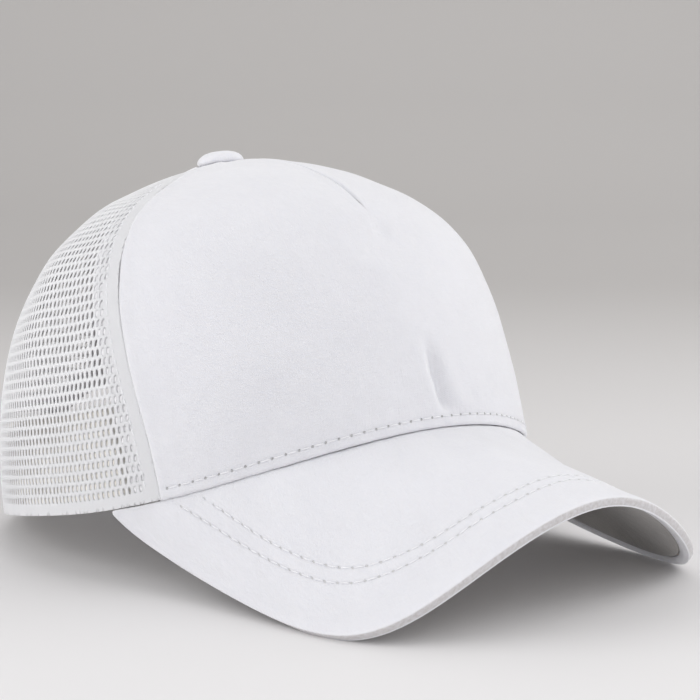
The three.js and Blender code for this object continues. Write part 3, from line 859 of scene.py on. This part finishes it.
def tape_mesh(name, seam, side, depth_at, wider):
    """A strip along a seam, wider on its net side. Its columns are millimetres from the seam, and
    its rows shares of the way up, which end short of the button. depth_at gives its depth at a
    place from the seam and a height, and it puffs up and down as a slow sine."""
    top_share = 1 - (tape_top_radius - apex_hole) / cloth_length(seam_angle(seam, 1.0))
    columns = rows_between(tape_width + wider, 1.0, 0.8) - tape_width / 2
    rows = rows_between(seam_length, 1.5, 1.0) / seam_length * top_share
    off, share = np.meshgrid(columns[::side], rows, indexing="ij")
    middle = seam_angle(seam, share)
    around = middle + off / level_radius(middle, share * cloth_length(middle))
    height = 0.8 + share * (cloth_length(around) - apex_hole - 0.8)
    sunk = depth_at(off, height) + 0.12 * np.sin(2 * np.pi * height / 7.0) * np.abs(off) / 6
    return cloth_shell(
        name, lambda depth: on_crown(around, height, sunk + depth) * [side, 1, 1], tape_thickness,
        np.minimum(off + tape_width / 2, tape_width / 2 + wider - off),
        np.minimum(share, top_share - share) * seam_length, {"cloth": np.stack([off, height], -1)},
    )


def step_off_cotton(off, height):
    """The front tapes lie against the cotton on one side of the seam and the net on the other."""
    return net_back + (cotton_thickness + 0.15 - net_back) * soft_step(off, 1.2, -1.2)


def deeper_behind_slit(off, height):
    """Above the sweatband the back tapes sink past the inner leg of the slit's binding."""
    return net_back + soft_step(height, sweatband_height + 2, sweatband_height + 16) * 1.6


row_height = np.linspace(2.5, 128, 300)
row_around = edge_angle(front_seam, row_height) + 5.0 / level_radius(side_middle, row_height)
row_depth = net_middle - strand_half
for name, side in sides.items():
    for place, seam, depth_at, wider in (
        ("front", front_seam, step_off_cotton, 3.5), ("back", back_seam, deeper_behind_slit, 0.0)
    ):
        tape = tape_mesh(f"{place}_seam_tape_{name}_cotton", seam, side, depth_at, wider)
        add_piece(tape, white_tape, [f"{place}_seam_tape_{name}"])
    row_line, row_under = [
        on_crown(row_around, row_height, depth) * [side, 1, 1] for depth in (row_depth, row_depth + 1)
    ]
    row_run = length_along(row_line)
    stitch_row(f"seam_stitches_{name}", row_line, row_line - row_under, row_run, tape_pitch, 0.05)


# The bindings of the arch and the slit: white cotton tape folded over the cut edge of the nets, so
# that one leg lies outside and one inside, and sewn through both near their edges.
net_thickness = 1.0


def on_back(across, height, depth):
    """A point across mm towards +X from the middle of the back."""
    return on_crown(np.pi - across / level_radius(np.pi + 0 * height, height), height, depth)


def fold_profile():
    """The folded tape cut across: pairs of the distance from the fold and the depth. The outer leg
    swells a little in its middle, both legs have round edges, and a half circle joins them."""
    half, fold_radius = tape_thickness / 2, 0.6
    outer_depth, inner_depth = -layer_gap - half, net_thickness + layer_gap + half
    along = rows_between(binding_width - fold_radius, 0.8, 0.7)[::-1] + fold_radius
    full = rounded(binding_width - along, half) * half
    puff = 0.3 * np.sin(np.pi * along / binding_width)
    fold = np.linspace(-np.pi / 2, np.pi / 2, 13)
    middle, reach = (inner_depth + outer_depth) / 2, (inner_depth - outer_depth) / 2
    outside = np.stack([along, outer_depth - full - puff], -1)
    bend = np.stack([fold_radius * (1 - np.cos(fold)), middle + (reach + half) * np.sin(fold)], -1)
    inside = np.stack([along[::-1], inner_depth + full[::-1]], -1)
    inner_face = np.stack([along[:-1], inner_depth - full[:-1]], -1)
    web = fold_radius + tape_thickness
    webs = np.array([[web, inner_depth - half], [web, outer_depth + half]])
    outer_face = np.stack([along[1:][::-1], outer_depth + full[1:][::-1]], -1)
    return np.concatenate([outside, bend[1:-1], inside, inner_face[1:], webs, outer_face[:-1]])


def with_ends(first, second):
    """A UV map of a value a point, with the two end points' values after it."""
    flat = np.stack(np.broadcast_arrays(first, second), -1).reshape(-1, 2)
    return np.concatenate([flat, flat[:1], flat[-1:]])


def tube_mesh(name, rows, ends, maps, inside_out=False):
    """A tube through rows of points, closed round each row, with a cap of triangles to each of its
    two end points."""
    count, size = rows.shape[:2]
    number = np.arange(count * size).reshape(count, size)
    after = np.roll(number, -1, axis=1)
    hub = np.full(size, count * size)
    quads = np.stack([number[:-1], after[:-1], after[1:], number[1:]], -1).reshape(-1, 4)
    caps = np.concatenate([
        np.stack([after[0], number[0], hub], -1), np.stack([number[-1], after[-1], hub + 1], -1),
    ])
    if inside_out:
        quads, caps = quads[:, [0, 3, 2, 1]], caps[:, [1, 0, 2]]
    return build_mesh(name, np.concatenate([rows.reshape(-1, 3), ends]), quads, caps, maps)


def binding_mesh(name, path, out, squeeze):
    """The folded tape carried along an edge, a path of millimetres across and up the back. Each of
    its points has a direction out into the cloth, and squeeze, 0 to 1, presses the legs thin where
    they pass under another binding."""
    into, depth = fold_profile().T
    middle = net_thickness / 2
    depth = middle + (depth - middle) * (1 - squeeze[:, None])
    spread = path[:, None] + out[:, None] * into[:, None]
    rows = on_back(spread[..., 0], spread[..., 1], depth)
    ends = np.stack([rows[0].mean(0), rows[-1].mean(0)])
    maps = {"cloth": with_ends(length_along(path)[:, None], into)}
    return tube_mesh(name, rows, ends, maps, inside_out=True)


def outward(path):
    """Each point's direction out of the opening: the path's own direction, a quarter turn on."""
    run = unit(np.gradient(path, axis=0))
    return np.stack([-run[:, 1], run[:, 0]], -1)


def row_on_back(name, path, out):
    """A row of stitches near the outer edge of a binding."""
    across, height = (path + out * (binding_width - 1.3)).T
    depth = -layer_gap - tape_thickness - 0.13
    line = on_back(across, height, depth)
    upward = unit(line - on_back(across, height, depth + 1))
    stitch_row(name, line, upward, length_along(line), tape_pitch, 0.05)


arch_turn = np.linspace(-np.pi / 2, np.pi / 2, 181)
arch_path = np.stack([arch_half_width * np.sin(arch_turn), arch_height * np.cos(arch_turn)], -1)
arch_out = outward(arch_path)
arch_out[[0, -1]] = [[-1, 0], [1, 0]]
arch_binding = binding_mesh("arch_binding_cotton", arch_path, arch_out, np.zeros(len(arch_turn)))
add_piece(arch_binding, white_tape, ["arch_binding"])
row_on_back("arch_binding_stitches", arch_path, arch_out)

# The slit's path goes up one side, over its square head and down the other side. The binding's
# ends cross under the arch's binding, which presses them flat.
tail_length = 4.5
tail = np.linspace(slit_foot - tail_length, slit_foot, 8)[:-1]
rising_side = np.concatenate([tail, np.linspace(slit_foot, slit_head, 120)])
rising_half = np.where(rising_side < slit_foot, closed_half, slit_half(rising_side))
head_turn = np.linspace(-np.pi / 2, np.pi / 2, 33)[1:-1]
head_across, head_up = slit_half(slit_head) * np.sin(head_turn), slit_top_crown * np.cos(head_turn)
slit_across = np.concatenate([-rising_half, head_across, rising_half[::-1]])
slit_up = np.concatenate([rising_side, slit_head + head_up, rising_side[::-1]])
slit_path = np.stack([slit_across, slit_up], -1)
slit_out = outward(slit_path)
for _ in range(6):
    slit_out[1:-1] = (slit_out[:-2] + slit_out[1:-1] + slit_out[2:]) / 3
slit_out = unit(slit_out)
under_arch = 0.72 * soft_step(slit_up, slit_foot + 1.0, slit_foot - 1.5)
slit_binding = binding_mesh("slit_binding_cotton", slit_path, slit_out, under_arch)
add_piece(slit_binding, white_tape, ["slit_binding"])
seen = slit_up > slit_foot + 2
row_on_back("slit_binding_stitches", slit_path[seen], slit_out[seen])


# The centre back tape: a wider tape outside, over the short seam between the button and the slit.
# It rises a little in its middle, where the seam lies under it.
centre_tape_width = 13.0
button_radius = 8.0
centre_foot = slit_head + slit_top_crown + binding_width + layer_gap
centre_top = cloth_length(np.pi) - button_radius - 0.5
columns = rows_between(centre_tape_width, 0.7, 0.8) - centre_tape_width / 2
rows = rows_between(centre_top - centre_foot, 0.8, 0.6) + centre_foot
off, high = np.meshgrid(columns[::-1], rows, indexing="ij")
raised = layer_gap + tape_thickness + 0.15 * bell(off, 4.0)
centre_tape = cloth_shell(
    "centre_back_tape_cotton", lambda depth: on_back(off, high, depth - raised), tape_thickness,
    centre_tape_width / 2 - np.abs(off), np.minimum(high - centre_foot, centre_top - high),
    {"cloth": np.stack([off, high], -1)},
)
add_piece(centre_tape, white_tape, ["centre_back_tape"])


# The sweatband: a cream cotton band as tall as two fingers, sewn inside the base edge from one leg
# of the arch round the front to the other. It shows through the net, and its top edge waves a little.
band_thickness = 1.2
band_end = np.pi - (arch_half_width + binding_width + 1) / level_radius(np.pi, 0.0)
cream_cotton = woven("cream_cotton", (0.95, 0.92, 0.865), (0.91, 0.88, 0.82), 0.8, 0.0)
columns = rows_between(2 * band_end * crown_half_width, 1.6, 1.0) / crown_half_width - band_end
rows = rows_between(sweatband_height, 0.9, 0.8)
around, high = np.meshgrid(columns, rows, indexing="ij")
band_run = around * crown_half_width


def band_depth(around, run, height):
    """The band lies close to the net, steps over the tapes at the seams and goes inside the cotton.
    Its free upper edge stands off, by a slow wave that grows as the height to the 4th."""
    off_front, off_back = [
        (np.abs(around) - seam_angle(seam, height / seam_length)) * crown_half_width
        for seam in (front_seam, back_seam)
    ]
    under = net_back + 0.06 + 2.3 * soft_step(off_front, 8, -6) + 1.6 * bell(run - 4, 9.0)
    humps = 1.25 * soft_step(np.abs(off_front - 3), 10, 7) + 1.1 * soft_step(np.abs(off_back), 9, 6.2)
    loose = (height / sweatband_height) ** 4 * (0.45 + 0.4 * ripple(run, height, 46.0, 21))
    crease = 0.05 * ripple(run * 0.25, height, 7.0, 23)
    return under + humps + loose + crease


sunk = band_depth(around, band_run, high)
sweatband = add_piece(
    cloth_shell(
        "sweatband_cotton", lambda depth: on_crown(around, high, sunk + depth), band_thickness,
        (band_end - np.abs(around)) * crown_half_width, np.minimum(high, sweatband_height - high),
        {"cloth": np.stack([band_run, high], -1)},
    ),
    cream_cotton, ["sweatband"],
)
band_length = length_along(on_crown(columns, np.full(len(columns), sweatband_height / 2), net_back))[-1]


# The straps: two flat cotton straps, one sewn to each leg of the arch. They lap across the opening,
# the outer one a little lower, so that the inner one's upper edge shows above it.
strap_height = 18.0
strap_thickness = 1.2
strap_foot = 0.3
lap_past_centre = 24.0
inner_strap_rise = 3.5
strap_root = arch_half_width + binding_width - 0.3
strap_depth = net_thickness + layer_gap + tape_thickness + layer_gap
for name, side, depth_in, foot in (
    ("strap_outer", 1, strap_depth, strap_foot),
    ("strap_inner", -1, strap_depth + strap_thickness + layer_gap, strap_foot + inner_strap_rise),
):
    columns = rows_between(strap_root + lap_past_centre, 0.9, 0.8) - lap_past_centre
    rows = rows_between(strap_height, 0.8, 0.8) + foot
    off, high = np.meshgrid(columns[::-side], rows, indexing="ij")
    strap = cloth_shell(
        f"{name}_cotton", lambda depth: on_back(side * off, high, depth_in + depth), strap_thickness,
        np.minimum(off + lap_past_centre, strap_root - off),
        np.minimum(high - foot, foot + strap_height - high), {"cloth": np.stack([off, high], -1)},
    )
    piece = add_piece(strap, white_tape, [name])


# The peak: a stiffened board covered with the same white cotton. The cover goes over the rim and a
# little way back underneath, where it meets the lining. Two rows of stitches follow the rim.
peak_corner = 72.2 * DEGREE
corner_depth = 1.2
peak_reach = 63.4
side_drop = 38.3
peak_tuck = 1.6
peak_thickness = 3.0
lining_thickness = 1.0
# The control points of the rim, as shares of the half width, the way forward and the drop.
rim_points = np.array([
    (0.784, 0.094, 0.75),
    (0.877, 0.877, 0.859),
    (0.911, 0.693, 1.802),
    (0.578, 1.0, 0.347),
    (0.0, 1.0, 0.347),
])


def mirrored(points, turn):
    """Points for the +X side, put on the side that turn's sign says."""
    return points * np.stack([np.where(turn < 0, -1, 1), np.ones_like(turn), np.ones_like(turn)], -1)


def peak_inner(turn):
    """The peak's inner edge: the crown's base edge, lowered a little and tucked in at the front."""
    points = on_crown(peak_corner * np.abs(turn), 0 * turn, peak_tuck * np.cos(turn * np.pi / 2))
    return mirrored(points - [0, 0, layer_gap], turn)


def peak_outer(turn):
    """The rim: a Bezier curve of the fifth degree from the corner, turn 1, to the middle, 0."""
    corner = crown_point(np.array([peak_corner]), np.zeros(1))[0]
    front = -(crown_front + peak_reach)
    held = np.stack([
        crown_half_width * rim_points[:, 0],
        corner[1] + (front - corner[1]) * rim_points[:, 1],
        corner[2] - side_drop * rim_points[:, 2],
    ], -1)
    held = np.concatenate([[corner - [0, 0, layer_gap + corner_depth]], held])
    t = 1 - np.abs(turn)[..., None]
    weights = [1, 5, 10, 10, 5, 1]
    points = sum(w * (1 - t) ** (5 - k) * t ** k * held[k] for k, w in enumerate(weights))
    return mirrored(points, turn)


def peak_up(turn, out):
    """The direction out of the peak's top: square to the straight line from edge to edge, and to
    the way along the peak."""
    def ruled(at):
        return peak_inner(at) * (1 - out[..., None]) + peak_outer(at) * out[..., None]

    at = np.clip(turn, nudge - 1, 1 - nudge)
    return unit(np.cross(peak_outer(at) - peak_inner(at), ruled(at + nudge) - ruled(at - nudge)))


def peak_point(turn, out, lift):
    """A point lift mm above the underside, from the inner edge, out 0, to the rim, out 1. Where the
    peak hangs steeply, the rim's curve is its top's edge, and elsewhere its underside's."""
    turn, out, lift = np.broadcast_arrays(turn * 1.0, out * 1.0, lift * 1.0)
    none, whole = np.zeros_like(turn), np.ones_like(turn)
    rim_up = peak_up(turn, whole)
    inner = peak_inner(turn) - peak_up(turn, none) * peak_thickness
    outer = peak_outer(turn) - rim_up * peak_thickness * (1 - np.maximum(rim_up[..., 2:], 0))
    points = inner + (outer - inner) * out[..., None]
    return points + peak_up(turn, out) * lift[..., None]


# The rows of stitches: the greatest share out, the turn where a row ends, and its curve's power.
row_shapes = {"rim_row": (0.782, 0.815, 4.3), "inner_row": (0.722, 0.735, 4.2)}
peak_pitch = 4.15


def row_out(turn, shape):
    """How far out a row of stitches lies: most (1 - |turn / end|^power)."""
    most, end, power = shape
    return most * (1 - np.minimum(np.abs(turn) / end, 1) ** power)


# Places round the peak, closer together towards its corners, at -1 and 1.
quarter = np.pi / 2 * 0.94
peak_turns = np.sin(np.linspace(-1, 1, 301) * quarter) / np.sin(quarter)
ruling = np.linalg.norm(peak_point(peak_turns, 1.0, 1.5) - peak_point(peak_turns, 0.0, 1.5), axis=-1)
rim_run = length_along(peak_point(peak_turns, 1.0, peak_thickness))
rim_run = rim_run - rim_run[-1] / 2
hem_width = 3.6
cover_lift = lining_thickness + layer_gap


def top_lift(turn, out):
    """How high the cover's top lies: the board's own bulge, slack cloth as a slow wave, a groove along
    each row of stitches and puckers beside it, and a low welt where the cloth turns over the rim."""
    reach = np.interp(turn, peak_turns, ruling)
    along = np.interp(turn, peak_turns, rim_run)
    inside = soft_step(out, 0.0, 0.1) * soft_step(out, 1.0, 0.85)
    lift = 0.5 * np.sin(np.pi * np.clip(out, 0, 1)) * np.clip(reach / 40, 0, 1)
    lift = lift + 0.3 * ripple(along, out * reach, 34.0, 31) * inside
    lift = lift + 0.14 * bell((1 - out) * reach - 3.4, 1.6)
    for shape in row_shapes.values():
        off = (out - row_out(turn, shape)) * reach
        held = soft_step(np.abs(turn), shape[1], shape[1] * 0.9) * soft_step(reach, 8, 20)
        puckers = 0.1 * np.sin(2 * np.pi * along / 6.1) * bell(np.abs(off) - 2.2, 1.8)
        lift = lift + held * (puckers - 0.22 * bell(off, 0.9))
    return peak_thickness + lift


top_count = 80
over = 1 - (1 - np.linspace(0, 1, top_count)) ** 1.15
bend = np.linspace(0, np.pi, 21)[1:-1]
# The rim is squarer than a half circle, with a fine bead along its lower edge.
rim_push = np.abs(np.sin(bend)) ** 0.5
rim_rise = np.sign(np.cos(bend)) * np.abs(np.cos(bend)) ** 0.75
rim_radius = 0.9
bead = 0.3 * bell(bend - 0.84 * np.pi, 0.2)
edge_rows = np.concatenate([
    np.stack([rim_radius * (1 - rim_push) - bead, peak_thickness / 2 * (1 + rim_rise)], -1),
    [(rim_radius, 0.0), (hem_width * 0.5, -0.1), (hem_width - 0.3, -0.05), (hem_width, 0.25)],
    [(hem_width, 0.8), (hem_width - 0.5, cover_lift)],
])
turn, reach = peak_turns[:, None], ruling[:, None]
# The hem and the rounding narrow to nothing at the corners, where the peak is less than 14 mm deep.
narrowed = np.clip(reach / 14.0, 0.02, 1) / reach
top_out = over[None, :] * (1 - rim_radius * narrowed)
edge_out = 1 - edge_rows[None, :, 0] * narrowed
back_out = over[None, :-4][:, ::-1] * (1 - hem_width * narrowed)
edge_lift = np.broadcast_to(edge_rows[None, :, 1], edge_out.shape)
back_lift = np.full(back_out.shape, cover_lift)
loop = np.concatenate([
    peak_point(turn, top_out, top_lift(turn + 0 * top_out, top_out)),
    peak_point(turn, edge_out, edge_lift),
    peak_point(turn, back_out, back_lift),
], axis=1)
loop_out = np.concatenate([top_out, edge_out, back_out], axis=1)
loop_lift = np.concatenate([np.full(top_out.shape, peak_thickness), edge_lift, back_lift], axis=1)
from_rim = (1 - loop_out) * reach
along_rim = np.broadcast_to(rim_run[:, None], from_rim.shape)
peak_maps = {"cloth": with_ends(along_rim, from_rim), "rim": with_ends(from_rim, loop_lift)}
row_lines = {}
# Where a row isn't sewn, its map says a distance that no needle hole or groove reaches.
not_sewn = 9.0
for title, shape in row_shapes.items():
    out_here = row_out(peak_turns, shape)
    line = peak_point(peak_turns, out_here, top_lift(peak_turns, out_here))
    run = length_along(line)
    run = run - run[-1] / 2
    slope = np.gradient(out_here * ruling)
    square = np.abs(np.gradient(rim_run)) / np.hypot(np.gradient(rim_run), slope)
    off_row = (loop_out - out_here[:, None]) * reach * square[:, None]
    sewn = np.abs(peak_turns) < shape[1] * 0.985
    on_top = (np.arange(loop.shape[1]) < top_count)[None, :] & sewn[:, None]
    peak_maps[title] = with_ends(run[:, None] / peak_pitch, np.where(on_top, off_row, not_sewn))
    row_lines[title] = (line[sewn], peak_up(peak_turns, out_here)[sewn], run[sewn])


def rim_shade_and_tone(paint):
    """The rim's facet is darker, warmer and unevenly mottled: partly painted shade, as the facet faces
    down and sideways, and partly the warmer grey of the cloth's own edge. It lies where the map
    called rim is near the rim and between the top and the underside."""
    from_rim, lift = paint.map_axes("rim")
    x, y = paint.map_axes("cloth")
    facet_shade_and_tone = from_rim.clear_step(2.2, 0.9) * lift.clear_step(2.95, 2.5) * lift.clear_step(0.35, 0.7)
    mottle = paint.noise(x * 0.8, lift * 0.9, 4.0).clear_step(0.25, 0.75)
    return (0.56, 0.54, 0.54), facet_shade_and_tone * (0.5 + 0.5 * mottle)


# The peak's needle holes get a paler painted shade than the panel's.
peak_cotton = woven(
    "peak_cotton", cotton_tint, cotton_shade, cotton_thread, cotton_glow,
    list(row_shapes), peak_pitch, rim_shade_and_tone, hole_shade_grey=0.7,
)
ends = np.stack([loop[0].mean(0), loop[-1].mean(0)])
peak_cover = tube_mesh("peak_cover_cotton", loop, ends, peak_maps)
add_piece(peak_cover, peak_cotton, ["peak_cover"])
for title, (line, upward, run) in row_lines.items():
    stitch_row(f"peak_{title}_stitches", line, upward, run, peak_pitch)


# The peak's lining: plain cotton under the board, from the base edge to the cover's turned hem. Its
# colour is painted a dark grey, far darker than the white cover: painted shade under the peak.
# Its dark tint is painted shade under the peak.
lining_painted_shade = woven("lining_painted_shade", (0.46, 0.44, 0.425), (0.28, 0.265, 0.26), 0.7, 0.2)
lining_depth, half_lining = 60.0, 90.0
rows = rows_between(lining_depth, 1.6, 1.0) / lining_depth
turn, share = np.meshgrid(peak_turns, rows, indexing="ij")
lining_out = share * (1 - (hem_width + 0.4) * narrowed)
lining_run = np.broadcast_to(rim_run[:, None], turn.shape)
peak_lining = cloth_shell(
    "peak_lining_cotton", lambda depth: peak_point(turn, lining_out, lining_thickness - depth),
    lining_thickness, (1 - np.abs(turn)) * half_lining, np.minimum(share, 1 - share) * lining_depth,
    {"cloth": np.stack([lining_run, lining_out * reach], -1)},
)
add_piece(peak_lining, lining_painted_shade, ["peak_lining"])


# The button: a small metal disc covered with the panel's cotton, which gathers under its rim. Its
# shank goes through the crown to a washer inside.
button_sides = 48
button_outline = np.array([
    [0.0, -3.7], [6.0, -3.7], [6.0, -2.9], [3.0, -2.9], [3.0, 0.5], [5.5, 0.45], [7.4, 0.55],
    [7.9, 0.95], [8.0, 1.5], [7.85, 2.1], [7.4, 2.9], [6.6, 3.65], [5.4, 4.3], [3.8, 4.75],
    [2.0, 4.95], [0.0, 5.0],
])
spin = np.arange(button_sides) * 2 * np.pi / button_sides
rings = button_outline[1:-1]
gather = 1 + 0.012 * np.cos(12 * spin)[None, :] * bell(rings[:, 1:] - 1.2, 1.2)
radii = rings[:, :1] * gather
rows = np.stack(np.broadcast_arrays(radii * np.cos(spin), radii * np.sin(spin), rings[:, 1:]), -1)
ends = np.array([[0, 0, button_outline[0, 1]], [0, 0, button_outline[-1, 1]]])
button_map = np.concatenate([rows.reshape(-1, 3), ends])[:, :2]
top_button = tube_mesh("button_cotton", rows + crown_top, ends + crown_top, {"cloth": button_map})
button_cotton = woven("button_cotton", (0.81, 0.81, 0.845), (0.76, 0.76, 0.8), cotton_thread, cotton_glow)
add_piece(top_button, button_cotton, ["button"])


# The floor and the lights: a pale table that sweeps up into a wall, painted darker and a little
# warmer with distance as painted shade where the light falls off, and five wide soft lights in a
# bright grey room: to the right above, far right, low at the left, in front and behind. The sweep
# is cut along the view, in metres forward and up.
sweep = np.array([
    [-3.0, 0.0], [0.9, 0.0], [1.25, 0.03], [1.5, 0.14], [1.66, 0.34], [1.72, 0.6], [1.74, 3.4],
])
table_half_width = 3.5
ahead = -backwards[:2] / np.linalg.norm(backwards[:2])
beside = np.array([ahead[1], -ahead[0]])
floor_points = [
    [*(ahead * forward + beside * sideways), high]
    for forward, high in sweep for sideways in (-table_half_width, table_half_width)
]
floor_faces = [(2 * k, 2 * k + 1, 2 * k + 3, 2 * k + 2) for k in range(len(sweep) - 1)]
floor_mesh = bpy.data.meshes.new("table")
floor_mesh.from_pydata(floor_points, [], floor_faces)
floor_mesh.polygons.foreach_set("use_smooth", np.ones(len(floor_faces), bool))
table = add_object("table", floor_mesh)
table_shade_paint = Paint("pale_table_painted_shade", 0.75, 0.0)
east, north = table_shade_paint.axes(table_shade_paint.object_place())
distance = east * float(ahead[0]) + north * float(ahead[1])
# The table darkens and warms with distance ahead: painted shade where the light falls off.
table_shade_paint.colour((0.86, 0.85, 0.855), (0.5, 0.485, 0.475), distance.clear_step(-0.5, 1.0))
floor_mesh.materials.append(table_shade_paint.material)

# Each light is square and looks at the cap: its place and width in metres, and its power in watts.
light_aim = np.array([0, 0, 0.05])
soft_lights = {
    "right": ((0.35, -0.75, 1.35), 1.1, 2.6),
    "far_right": ((1.3, -0.5, 0.8), 1.2, 8.2),
    "left": ((-1.25, 0.75, 0.6), 1.2, 8.8),
    "front": ((-0.9, -1.2, 0.6), 1.2, 4.6),
    "behind": ((0.85, 0.9, 1.2), 1.3, 3.0),
}
for name, (place, width, power) in soft_lights.items():
    lamp = bpy.data.lights.new(name, "AREA")
    lamp.size = width
    lamp.energy = power
    light = add_object(name, lamp)
    light.matrix_world = looking(place, unit(place - light_aim), (0, 0, 1))
world = bpy.data.worlds.new("room")
bpy.context.scene.world = world
world.use_nodes = True
room_light = world.node_tree.nodes["Background"]
room_light.inputs["Color"].default_value = (1.0, 0.995, 1.0, 1.0)
room_light.inputs["Strength"].default_value = 0.64
bpy.context.scene.view_settings.view_transform = "Standard"
